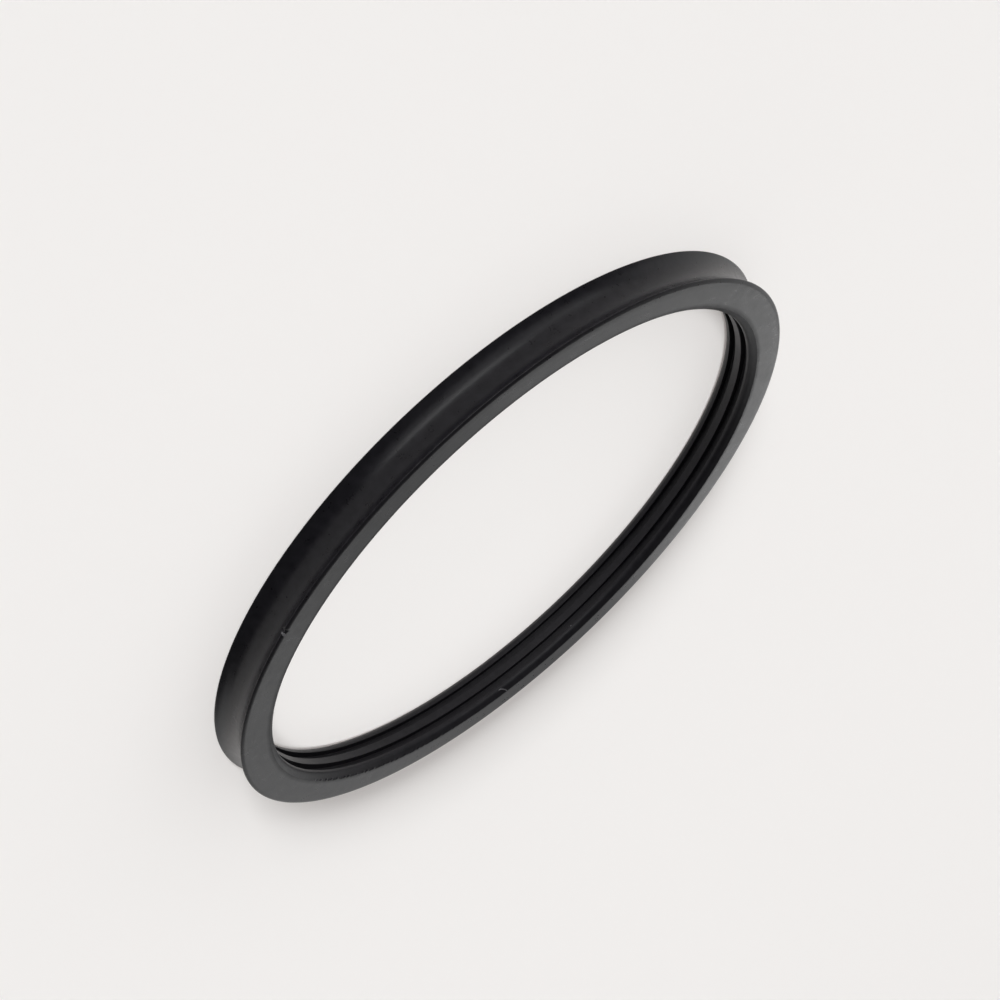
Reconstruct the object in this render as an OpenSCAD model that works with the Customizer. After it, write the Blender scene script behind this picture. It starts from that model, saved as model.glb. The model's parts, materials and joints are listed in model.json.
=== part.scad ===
// Sliding ring of a rotary shaft seal, turned in one piece from carbon-filled PTFE.
// A concave channel round the outside seats the O-ring that presses the ring on its shaft.
// Plain lands with two grooves between them line the bore and hold the lubricant.
// The ring lies on its back face, with its axis along +Z through the origin. Millimetres.

/* [Ring] */
// Bore across the sealing lands, which is the diameter of the shaft
bore_d = 60; // [40:0.5:190]
// Radial height from the sealing lands to the crests of the rims
wall_h = 3.8; // [3.6:0.1:5]
// Width along the axis, from face to face
ring_w = 4.2; // [4:0.1:5]

/* [Outer channel] */
// Width of each rim at its crest, from the face to the channel
rim_w = 0.2; // [0.15:0.05:0.4]
// Depth of the channel at its middle, below the crests
channel_depth = 0.85; // [0.5:0.05:1.3]
// Height of the break on the outer corner of each face
rim_break_h = 0.25; // [0.1:0.05:0.4]
// Width along the axis of the same break
rim_break_w = 0.12; // [0.05:0.01:0.15]

/* [Bore] */
// Number of grooves in the bore
groove_count = 2; // [1:1:2]
// Width of each groove
groove_w = 0.8; // [0.4:0.05:0.9]
// Depth of each groove below the lands
groove_depth = 0.7; // [0.3:0.05:1]
// Width of the land between two grooves
land_w = 0.8; // [0.5:0.05:0.9]
// Height of the bevel from each face down to the lands
bevel_h = 0.6; // [0.2:0.05:0.8]
// Width along the axis of the same bevel
bevel_w = 0.4; // [0.2:0.05:0.5]

/* [Hidden] */
land_r = bore_d / 2;
crest_r = land_r + wall_h;
channel_half = ring_w / 2 - rim_w;
channel_r = (channel_half * channel_half + channel_depth * channel_depth) / (2 * channel_depth);
groove_pitch = groove_w + land_w;
// How far a cutter runs past the surface that it opens
cut_over = 0.5;
// Facets round the ring and round the channel's arc
turn_facets = 180;
arc_facets = 96;

// Outline of the turned blank, radius along X and height along Y
module blank_section() {
    polygon([
        [land_r + bevel_h, 0],
        [crest_r - rim_break_h, 0],
        [crest_r, rim_break_w],
        [crest_r, ring_w - rim_break_w],
        [crest_r - rim_break_h, ring_w],
        [land_r + bevel_h, ring_w],
        [land_r, ring_w - bevel_w],
        [land_r, bevel_w]
    ]);
}

// Round cutter that leaves the concave channel between the rims
module channel_section() {
    translate([crest_r - channel_depth + channel_r, ring_w / 2])
        circle(r = channel_r, $fn = arc_facets);
}

// Square cutters of the bore grooves, spaced evenly about the middle of the width
module groove_sections() {
    for (i = [0 : groove_count - 1]) {
        middle = ring_w / 2 + (i - (groove_count - 1) / 2) * groove_pitch;
        translate([land_r - cut_over, middle - groove_w / 2])
            square([cut_over + groove_depth, groove_w]);
    }
}

module seal_ring() {
    color("#2a2b2d")
        rotate_extrude($fn = turn_facets)
            difference() {
                blank_section();
                channel_section();
                groove_sections();
            }
}

seal_ring();
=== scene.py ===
# Turned seal ring, dressed for a studio picture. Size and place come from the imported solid.
import json
import math

import bmesh
import bpy
from mathutils import Euler, Matrix, Vector, noise


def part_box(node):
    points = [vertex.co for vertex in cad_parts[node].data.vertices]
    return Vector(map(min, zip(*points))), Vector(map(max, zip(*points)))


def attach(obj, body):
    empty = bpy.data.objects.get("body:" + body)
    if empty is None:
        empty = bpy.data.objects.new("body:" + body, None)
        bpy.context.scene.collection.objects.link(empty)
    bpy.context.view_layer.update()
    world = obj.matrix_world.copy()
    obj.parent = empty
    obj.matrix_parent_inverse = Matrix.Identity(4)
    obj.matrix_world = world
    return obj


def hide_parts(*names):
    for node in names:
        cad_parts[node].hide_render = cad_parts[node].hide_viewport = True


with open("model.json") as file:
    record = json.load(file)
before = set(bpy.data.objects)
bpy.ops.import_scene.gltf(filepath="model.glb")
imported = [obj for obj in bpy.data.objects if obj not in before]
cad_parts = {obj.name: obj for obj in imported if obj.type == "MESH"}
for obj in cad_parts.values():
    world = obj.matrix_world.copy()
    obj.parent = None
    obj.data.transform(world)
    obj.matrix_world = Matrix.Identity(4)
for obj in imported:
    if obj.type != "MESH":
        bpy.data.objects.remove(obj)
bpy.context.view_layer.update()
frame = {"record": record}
mm = 0.001  # the dictionaries below are in millimetres and degrees
ringLow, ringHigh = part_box("seal_ring")
bore = next(m for m in frame["record"]["mounts"] if m["name"] == "bore")
landR = bore["dims"]["r_mm"]  # sealing lands, which run on the shaft
crestR = ringHigh.x / mm  # crests of the two rims
ringW = ringHigh.z / mm
print("frame loaded: lands at", landR, "crests at", round(crestR, 3), "width", round(ringW, 3))


def hexToLinear(code):
    parts = [int(code[i:i + 2], 16) / 255 for i in (1, 3, 5)]
    return (*[c / 12.92 if c <= 0.04045 else ((c + 0.055) / 1.055) ** 2.4 for c in parts], 1.0)


def addNode(tree, kind, inputs=None, **settings):
    node = tree.nodes.new(kind)
    for name, value in settings.items():
        setattr(node, name, value)
    for name, value in (inputs or {}).items():
        if isinstance(value, bpy.types.NodeSocket):
            tree.links.new(value, node.inputs[name])
        else:
            node.inputs[name].default_value = value
    return node


# camera: the photograph's view of the ring, which is rolled well past a quarter turn
cameraSet = {
    "place": (1.96, 181.5, 67.2), "elevation": 20.78, "roll": 135.79, "lens": 72.0, "sensor": 36.0,
    "near": 0.005, "far": 60.0,  # clipping, in metres
}


def makeCamera():
    data = bpy.data.cameras.new("camera")
    data.lens = cameraSet["lens"]
    data.sensor_width = cameraSet["sensor"]
    data.clip_start = cameraSet["near"]
    data.clip_end = cameraSet["far"]
    camera = bpy.data.objects.new("camera", data)
    bpy.context.scene.collection.objects.link(camera)
    level = Euler((math.radians(90 - cameraSet["elevation"]), 0, math.pi)).to_matrix()
    turned = level @ Matrix.Rotation(math.radians(cameraSet["roll"]), 3, "Z")
    camera.matrix_world = Matrix.Translation(Vector(cameraSet["place"]) * mm) @ turned.to_4x4()
    bpy.context.scene.camera = camera
    print("camera placed")


# filled PTFE: near black and waxy, fine-turned all over, so it is satin with faint rings round the axis
ptfeSet = {
    "dark": "#151418",
    "pale": "#1c1b1f",
    "mottle": 0.9,  # size of the filler's cloudy patches
    "toolPitch": 0.16,  # the real feed is about 0.05, drawn wider so that it shows
    "grain": 0.22,  # filler specks, really about 0.05, drawn coarser so that they show
    "markBump": 0.003, "grainBump": 0.003,  # heights of both
    "roughness": 0.3,
    "boreRoughness": 0.42,  # bored at a coarser feed than the outside
    "roughSpread": 0.025, "grainSpread": 0.012,  # how far the patches and the specks change it
    "boreFrom": 0.7, "boreTo": 1.1,  # heights above the lands between which the bore's finish ends
    "noiseLow": 0.3, "noiseHigh": 0.7,  # the span that the noise patterns really fill
    "rampLow": 0.35, "rampHigh": 0.65,  # the patches' values where each colour is full
    "ior": 1.28,  # PTFE is near 1.35, and its porous turned skin reflects a little less
}


def turnedFilledPtfe():
    material = bpy.data.materials.new("turned carbon-filled PTFE")
    material.use_nodes = True
    tree = material.node_tree
    tree.nodes.clear()
    place = addNode(tree, "ShaderNodeTexCoord").outputs["Object"]
    inMm = addNode(tree, "ShaderNodeVectorMath", {
        0: place, 1: (1 / mm,) * 3}, operation="MULTIPLY").outputs[0]
    cut = addNode(tree, "ShaderNodeSeparateXYZ", {0: inMm})
    flat = addNode(tree, "ShaderNodeCombineXYZ", {0: cut.outputs[0], 1: cut.outputs[1]}).outputs[0]
    radius = addNode(tree, "ShaderNodeVectorMath", {0: flat}, operation="LENGTH").outputs["Value"]
    lathe = addNode(tree, "ShaderNodeCombineXYZ", {0: radius, 1: cut.outputs[2]}).outputs[0]
    marks = addNode(tree, "ShaderNodeTexNoise", {
        "Vector": lathe, "Scale": 1 / ptfeSet["toolPitch"], "Detail": 2.0},
        noise_dimensions="2D").outputs[0]
    cloud = addNode(tree, "ShaderNodeTexNoise", {
        "Vector": inMm, "Scale": 1 / ptfeSet["mottle"], "Detail": 2.0}).outputs[0]
    colour = addNode(tree, "ShaderNodeValToRGB", {0: cloud})
    colour.color_ramp.elements[0].position = ptfeSet["rampLow"]
    colour.color_ramp.elements[0].color = hexToLinear(ptfeSet["dark"])
    colour.color_ramp.elements[1].position = ptfeSet["rampHigh"]
    colour.color_ramp.elements[1].color = hexToLinear(ptfeSet["pale"])
    plain = addNode(tree, "ShaderNodeMapRange", {
        0: radius, 1: landR + ptfeSet["boreFrom"], 2: landR + ptfeSet["boreTo"],
        3: ptfeSet["boreRoughness"], 4: ptfeSet["roughness"]}).outputs[0]
    uneven = addNode(tree, "ShaderNodeMapRange", {
        0: cloud, 1: ptfeSet["noiseLow"], 2: ptfeSet["noiseHigh"],
        3: -ptfeSet["roughSpread"], 4: ptfeSet["roughSpread"]}).outputs[0]
    grain = addNode(tree, "ShaderNodeTexNoise", {
        "Vector": inMm, "Scale": 1 / ptfeSet["grain"], "Detail": 1.0}).outputs[0]
    specks = addNode(tree, "ShaderNodeMapRange", {
        0: grain, 1: ptfeSet["noiseLow"], 2: ptfeSet["noiseHigh"],
        3: -ptfeSet["grainSpread"], 4: ptfeSet["grainSpread"]}).outputs[0]
    rough = addNode(tree, "ShaderNodeMath", {0: plain, 1: uneven}, operation="ADD").outputs[0]
    rough = addNode(tree, "ShaderNodeMath", {0: rough, 1: specks}, operation="ADD").outputs[0]
    ridges = addNode(tree, "ShaderNodeBump", {
        "Distance": ptfeSet["markBump"] * mm, "Height": marks}).outputs[0]
    bump = addNode(tree, "ShaderNodeBump", {
        "Distance": ptfeSet["grainBump"] * mm, "Height": grain, "Normal": ridges}).outputs[0]
    shader = addNode(tree, "ShaderNodeBsdfPrincipled", {
        "Base Color": colour.outputs[0], "Roughness": rough, "IOR": ptfeSet["ior"], "Normal": bump})
    addNode(tree, "ShaderNodeOutputMaterial", {"Surface": shader.outputs[0]})
    return material


# torn PTFE: a shaving stretched thin as it tears, so the resin pales to grey and loses its sheen
tornSet = {"colour": "#605f62", "roughness": 0.55, "ior": 1.35}


def tornFilledPtfe():
    material = bpy.data.materials.new("torn carbon-filled PTFE")
    material.use_nodes = True
    tree = material.node_tree
    tree.nodes.clear()
    shader = addNode(tree, "ShaderNodeBsdfPrincipled", {
        "Base Color": hexToLinear(tornSet["colour"]),
        "Roughness": tornSet["roughness"], "IOR": tornSet["ior"]})
    addNode(tree, "ShaderNodeOutputMaterial", {"Surface": shader.outputs[0]})
    return material


# ring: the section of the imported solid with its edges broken, swept round the axis
ringSet = {
    "rimW": 0.2, "channelDepth": 0.85, "rimBreakH": 0.25, "rimBreakW": 0.12,
    "grooveW": 0.8, "grooveDepth": 0.7, "landW": 0.8,
    "bevelH": 0.6, "bevelW": 0.4,
    "channelSteps": 10,  # points on half of the channel's arc
    "sharp": 0.03, "soft": 0.06,  # rounding of a cut edge and of a broken one
    "boreRoll": 0.5,  # where the bevel runs into the lands
    "faceRoll": 0.85, "crestRoll": 0.1,  # the rims are rubbed rounder, towards the face and at the crest
    "roundSteps": 3,
    "lipSteps": [0.24, 0.36],  # extra points each side of the lip, so that its tears stay short
    "hold": 0.03,  # how far past a rounding a flat stretch is held straight
    "steps": 300, "closest": 0.04,  # stations round the ring, and the least angle between two
    "fine": [(186, 216, 0.2), (216, 247, 0.3), (121, 125.4, 0.12)],  # closer where edges are damaged
}


def halfSection(s):
    # corners from the middle land to the channel: height above the lands, depth from the face, rounding
    wallH = crestR - landR
    middle = ringW / 2
    nearGroove = middle - s["landW"] / 2
    farGroove = nearGroove - s["grooveW"]
    half = middle - s["rimW"]
    arcR = (half ** 2 + s["channelDepth"] ** 2) / (2 * s["channelDepth"])
    corners = [
        (0, nearGroove, s["sharp"]),
        (s["grooveDepth"], nearGroove, s["soft"]),
        (s["grooveDepth"], farGroove, s["soft"]),
        (0, farGroove, s["sharp"]),
        (0, s["bevelW"], s["boreRoll"]),
        (s["bevelH"], 0, s["sharp"]),
        (wallH - s["rimBreakH"], 0, s["faceRoll"]),
        (wallH, s["rimBreakW"], s["crestRoll"]),
        (wallH, s["rimW"], s["sharp"]),
    ]
    start = math.asin(half / arcR)
    for i in range(1, s["channelSteps"] + 1):
        angle = start * (1 - i / s["channelSteps"])
        x = wallH - s["channelDepth"] + arcR * (1 - math.cos(angle))
        corners.append((x, middle - arcR * math.sin(angle), 0))
    return corners


def wholeSection(s):
    lower = halfSection(s)
    upper = [(x, ringW - z, r) for x, z, r in reversed(lower[:-1])]
    corners = lower + upper
    points = []
    lip = (s["bevelH"], ringW)
    for a, b in zip(corners, corners[1:] + corners[:1]):
        points.append(a)
        run = Vector((b[0] - a[0], b[1] - a[1]))
        stops = [a[2] + s["hold"], run.length - b[2] - s["hold"]]
        if not (a[2] and b[2] and stops[1] - stops[0] > s["hold"]):
            stops = []
        stops += s["lipSteps"] if a[:2] == lip else []
        stops += [run.length - t for t in s["lipSteps"]] if b[:2] == lip else []
        points += [(a[0] + run.x * t / run.length, a[1] + run.y * t / run.length, 0) for t in sorted(stops)]
    return points


def stationAngles(s):
    angles = {round(360 * i / s["steps"], 3) for i in range(s["steps"])}
    for first, last, gap in s["fine"]:
        angles |= {round(first + gap * i, 3) for i in range(int((last - first) / gap) + 1)}
    ordered = sorted(angles)
    return [a for a, before in zip(ordered, [-1] + ordered) if a - before > s["closest"]]


def wireObject(name, points, rounding=None):
    mesh = bpy.data.meshes.new(name)
    count = len(points)
    mesh.from_pydata([Vector(p) * mm for p in points], [(i, (i + 1) % count) for i in range(count)], [])
    if rounding:
        kept = mesh.attributes.new("rounding", "FLOAT", "POINT")
        for i, r in enumerate(rounding):
            kept.data[i].value = r * mm
    wire = bpy.data.objects.new(name, mesh)
    bpy.context.scene.collection.objects.link(wire)
    return wire


def latheTree():
    tree = bpy.data.node_groups.new("lathe", "GeometryNodeTree")
    sockets = {}
    kinds = {"Section": "Geometry", "Path": "Object", "Round Steps": "Int", "Finish": "Material"}
    for name, kind in kinds.items():
        socket = tree.interface.new_socket(name=name, in_out="INPUT", socket_type="NodeSocket" + kind)
        sockets[name] = socket.identifier
    tree.interface.new_socket(name="Ring", in_out="OUTPUT", socket_type="NodeSocketGeometry")
    given = addNode(tree, "NodeGroupInput").outputs
    rounding = addNode(tree, "GeometryNodeInputNamedAttribute", {
        "Name": "rounding"}, data_type="FLOAT").outputs[0]
    outline = addNode(tree, "GeometryNodeMeshToCurve", {"Mesh": given["Section"]}).outputs[0]
    broken = addNode(tree, "GeometryNodeFilletCurve", {
        "Curve": outline, "Count": given["Round Steps"], "Radius": rounding, "Limit Radius": True},
        mode="POLY").outputs[0]
    route = addNode(tree, "GeometryNodeObjectInfo", {"Object": given["Path"]}).outputs["Geometry"]
    circle = addNode(tree, "GeometryNodeMeshToCurve", {"Mesh": route}).outputs[0]
    upright = addNode(tree, "GeometryNodeSetCurveNormal", {"Curve": circle}, mode="Z_UP").outputs[0]
    swept = addNode(tree, "GeometryNodeCurveToMesh", {"Curve": upright, "Profile Curve": broken}).outputs[0]
    smooth = addNode(tree, "GeometryNodeSetShadeSmooth", {"Geometry": swept}).outputs[0]
    real = addNode(tree, "GeometryNodeRealizeInstances", {"Geometry": smooth}).outputs[0]
    dressed = addNode(tree, "GeometryNodeSetMaterial", {
        "Geometry": real, "Material": given["Finish"]}).outputs[0]
    addNode(tree, "NodeGroupOutput", {"Ring": dressed})
    return tree, sockets


def makeRing(material, tornMaterial):
    section = wholeSection(ringSet)[::-1]
    angles = [math.radians(a) for a in stationAngles(ringSet)]
    path = wireObject("path", [(landR * math.cos(a), landR * math.sin(a), 0) for a in angles])
    # the sweep turns the section's Y downwards, and its order sets which way the faces point
    blank = wireObject("blank", [(x, -z, 0) for x, z, r in section], [r for x, z, r in section])
    tree, sockets = latheTree()
    turning = blank.modifiers.new("turning", "NODES")
    turning.node_group = tree
    turning[sockets["Path"]] = path
    turning[sockets["Round Steps"]] = ringSet["roundSteps"]
    turning[sockets["Finish"]] = material
    seen = blank.evaluated_get(bpy.context.evaluated_depsgraph_get())
    mesh = bpy.data.meshes.new_from_object(seen)
    blank.modifiers.remove(turning)
    bpy.data.objects.remove(blank)
    bpy.data.objects.remove(path)
    mesh.name = "turned_ring"
    wearEdges(mesh)
    mesh.materials.append(tornMaterial)
    addSlivers(mesh)
    ring = bpy.data.objects.new("turned_ring", mesh)
    bpy.context.scene.collection.objects.link(ring)
    radii = [v.co.xy.length / mm for v in mesh.vertices]
    heights = [v.co.z / mm for v in mesh.vertices]
    print("ring:", len(mesh.polygons), "faces, radius", round(min(radii), 2), "to", round(max(radii), 2),
          "height", round(min(heights), 2), "to", round(max(heights), 2))
    return ring


# wear: small marks of turning and handling on a used sample, by angle round the ring
wearSet = {
    # where the bevel's lip is ragged, and how much
    "torn": [(187, 0), (192, 1), (222, 0.9), (236, 0.5), (246, 0.25), (247, 0)],
    "tornDepth": 0.15, "tooth": 0.36, "tornReach": 0.12,
    "large": 2.2, "small": 1.2, "finer": 2.3,  # shares of large and small teeth, and their ratio
    "nickAt": 123.0, "nickHalf": 0.35, "nickDepth": 0.2, "nickReach": 0.5,  # dent in the front rim
    "sliverSides": 8,
    # slivers still hanging on: angle, radius, height, the way the flat side faces,
    # then points along, inwards and up, with width and thickness
    "slivers": [
        (246.85, 30.62, 4.2, (0.19, 0.97, 0.18), [
            (0.10, -0.10, -0.04, 0.11, 0.06), (-0.06, 0.20, -0.06, 0.12, 0.06),
            (-0.23, 0.46, -0.14, 0.12, 0.06), (-0.44, 0.60, -0.29, 0.12, 0.06),
            (-0.68, 0.72, -0.39, 0.12, 0.05), (-0.88, 0.78, -0.39, 0.10, 0.04),
            (-0.97, 0.75, -0.34, 0.03, 0.02)]),
        (123.6, 33.64, 4.24, (0.22, 0.95, 0.22), [
            (0.16, 0.10, 0.02, 0.20, 0.06), (0.06, -0.02, 0.03, 0.26, 0.07),
            (-0.02, -0.12, -0.08, 0.28, 0.06), (-0.08, -0.19, -0.22, 0.20, 0.05),
            (-0.12, -0.21, -0.33, 0.04, 0.02)]),
        (266.0, 30.02, 3.4, (0.1, 0.97, 0.18), [
            (0.08, -0.04, 0, 0.08, 0.05), (0.0, 0.06, 0.01, 0.12, 0.05), (-0.09, 0.03, 0.02, 0.04, 0.03)]),
    ],
}


def between(pairs, angle):
    for (a, low), (b, high) in zip(pairs, pairs[1:]):
        if a <= angle <= b:
            return low + (high - low) * (angle - a) / (b - a)
    return 0


def wearEdges(mesh):
    w = wearSet
    lip = landR + ringSet["bevelH"]
    for v in mesh.vertices:
        angle = math.degrees(math.atan2(v.co.y, v.co.x)) % 360
        radius, height = v.co.xy.length / mm, v.co.z / mm
        shift = 0
        if math.hypot(radius - lip, height - ringW) < w["tornReach"]:
            amount = between(w["torn"], angle)
            along = math.radians(angle) * lip / w["tooth"]
            teeth = w["large"] * noise.noise((along, 0, 0))
            teeth += w["small"] * noise.noise((along * w["finer"], 5, 0))
            shift = amount * w["tornDepth"] * max(-1, min(1, teeth))
        toNick = abs(angle - w["nickAt"]) / w["nickHalf"]
        if toNick < 1 and radius > crestR - w["nickReach"] and height > ringW - w["nickReach"]:
            shift -= w["nickDepth"] * (1 - toNick)
        if shift:
            v.co.xy *= (radius + shift) / radius


def addSlivers(mesh):
    bm = bmesh.new()
    bm.from_mesh(mesh)
    sides = wearSet["sliverSides"]
    turns = [2 * math.pi * k / sides for k in range(sides)]
    for angle, radius, height, facing, points in wearSet["slivers"]:
        turn = math.radians(angle)
        inward = Vector((-math.cos(turn), -math.sin(turn), 0))
        along = Vector((-math.sin(turn), math.cos(turn), 0))
        root = Vector((0, 0, height)) - inward * radius
        spine = [root + along * p[0] + inward * p[1] + Vector((0, 0, p[2])) for p in points]
        loops = []
        for i, p in enumerate(points):
            way = (spine[min(i + 1, len(spine) - 1)] - spine[max(i - 1, 0)]).normalized()
            side = way.cross(Vector(facing)).normalized()
            over = side.cross(way)
            around = [side * p[3] / 2 * math.cos(a) + over * p[4] / 2 * math.sin(a) for a in turns]
            loops.append([bm.verts.new((spine[i] + step) * mm) for step in around])
        made = [bm.faces.new(loops[0]), bm.faces.new(loops[-1][::-1])]
        for low, high in zip(loops, loops[1:]):
            made += [bm.faces.new((low[k - 1], high[k - 1], high[k], low[k])) for k in range(sides)]
        for face in made:
            face.smooth = True
            face.material_index = 1
        bmesh.ops.recalc_face_normals(bm, faces=made)
    bm.to_mesh(mesh)
    bm.free()
    print("wear added:", len(wearSet["slivers"]), "slivers")


# floor: a pale board that keeps the ring's shadow, in two pieces that meet unseen under the ring
boardSet = {
    "colour": "#f4f4f3", "size": 20000.0, "joint": 32.0,
    "drop": 0.01,  # clear of the ring's back face
    "sides": 96,
    "glow": "#fdf3ee", "glowShare": 0.24,  # what the camera and reflections see added
}


def roundPiece(name, inner, outer, material):
    bm = bmesh.new()
    sides = boardSet["sides"]
    turns = [2 * math.pi * i / sides for i in range(sides)]
    drop = -boardSet["drop"] * mm
    rims = [[bm.verts.new((r * mm * math.cos(t), r * mm * math.sin(t), drop)) for t in turns]
            for r in (inner, outer) if r]
    if inner:
        for i in range(sides):
            bm.faces.new((rims[0][i - 1], rims[1][i - 1], rims[1][i], rims[0][i]))
    else:
        bm.faces.new(rims[0])
    mesh = bpy.data.meshes.new(name)
    bm.to_mesh(mesh)
    bm.free()
    mesh.materials.append(material)
    piece = bpy.data.objects.new(name, mesh)
    bpy.context.scene.collection.objects.link(piece)
    return piece


def makeBoard():
    material = bpy.data.materials.new("matt white board")
    material.use_nodes = True
    tree = material.node_tree
    tree.nodes.clear()
    paper = addNode(tree, "ShaderNodeBsdfDiffuse", {"Color": hexToLinear(boardSet["colour"])}).outputs[0]
    glow = addNode(tree, "ShaderNodeEmission", {"Color": hexToLinear(boardSet["glow"])}).outputs[0]
    ray = addNode(tree, "ShaderNodeLightPath").outputs
    seen = ray["Is Camera Ray"]
    for kind in ("Is Glossy Ray", "Is Transmission Ray"):
        seen = addNode(tree, "ShaderNodeMath", {0: seen, 1: ray[kind]}, operation="MAXIMUM").outputs[0]
    share = addNode(tree, "ShaderNodeMath", {
        0: seen, 1: boardSet["glowShare"]}, operation="MULTIPLY").outputs[0]
    mixed = addNode(tree, "ShaderNodeMixShader", {0: share, 1: paper, 2: glow}).outputs[0]
    addNode(tree, "ShaderNodeOutputMaterial", {"Surface": mixed})
    outside = roundPiece("board", boardSet["joint"], boardSet["size"], material)
    inside = roundPiece("board_middle", 0, boardSet["joint"], material)
    print("board laid")
    return outside, inside


# light: low soft panels round the ring inside a dim tent, so that its sides show their sheen
lightSet = {
    "far": 8.0,  # distance of the panels in metres
    "boardFar": 100.0,  # those for the board are further off, so that it is even
    "panels": [  # name, bearing, height, width and height in degrees, brightness (1 is white)
        ("key", 73, 4, 54, 8, 7.4),
        ("key right", 24, 7, 34, 14, 1.6),
        ("key top", 56, 22, 82, 24, 1.1),
        ("left", 215, 8, 36, 16, 0.8),
        ("back left", 248.2, 15, 30.5, 30, 0.63),
        ("back top", 262, 28, 22, 14, 0.9),
        ("back middle", 267.5, 15, 8, 30, 0.2),
        ("back right", 277, 15, 10, 18, 1.58),
        ("right", 319.5, 15, 75, 30, 0.88),
        ("right top", 308, 38, 30, 16, 0.45),
    ],
    # these light the board alone: a low one that lays the ring's shadow behind it, a high one in the bore
    "boardPanels": [("board low", 80, 10.5, 16, 9, 209.0), ("board high", 88, 38, 20, 20, 23.5)],
    "tentLow": 0.05, "tentTop": 0.27,
    "tentFrom": 0.3,  # sine of the height at which the tent starts to brighten
}


def makePanel(far, name, bearing, height, spanX, spanY, bright):
    data = bpy.data.lights.new(name, "AREA")
    data.shape = "RECTANGLE"
    data.size, data.size_y = [2 * far * math.tan(math.radians(s / 2)) for s in (spanX, spanY)]
    data.energy = bright * math.pi * data.size * data.size_y
    panel = bpy.data.objects.new(name, data)
    turn, rise = math.radians(bearing), math.radians(height)
    away = Vector((math.cos(turn) * math.cos(rise), math.sin(turn) * math.cos(rise), math.sin(rise)))
    panel.location = away * far
    panel.rotation_euler = away.to_track_quat("Z", "Y").to_euler()
    panel.visible_camera = False
    bpy.context.scene.collection.objects.link(panel)
    return panel


def makeLight(pieces):
    for panel in lightSet["panels"]:
        makePanel(lightSet["far"], *panel)
    for panel, piece in zip(lightSet["boardPanels"], pieces):
        lamp = makePanel(lightSet["boardFar"], *panel)
        lamp.light_linking.receiver_collection = bpy.data.collections.new(panel[0])
        lamp.light_linking.receiver_collection.objects.link(piece)
    world = bpy.data.worlds.new("tent")
    bpy.context.scene.world = world
    world.use_nodes = True
    tree = world.node_tree
    tree.nodes.clear()
    way = addNode(tree, "ShaderNodeTexCoord").outputs["Generated"]
    height = addNode(tree, "ShaderNodeSeparateXYZ", {0: way}).outputs[2]
    level = addNode(tree, "ShaderNodeMapRange", {
        0: height, 1: lightSet["tentFrom"], 2: 1.0,
        3: lightSet["tentLow"], 4: lightSet["tentTop"]}).outputs[0]
    light = addNode(tree, "ShaderNodeBackground", {"Strength": level}).outputs[0]
    addNode(tree, "ShaderNodeOutputWorld", {"Surface": light})
    bpy.context.scene.view_settings.view_transform = "Standard"
    print("light set:", len(lightSet["panels"] + lightSet["boardPanels"]), "panels")


makeCamera()
ring = makeRing(turnedFilledPtfe(), tornFilledPtfe())
makeLight(makeBoard())
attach(ring, "root")
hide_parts("seal_ring")
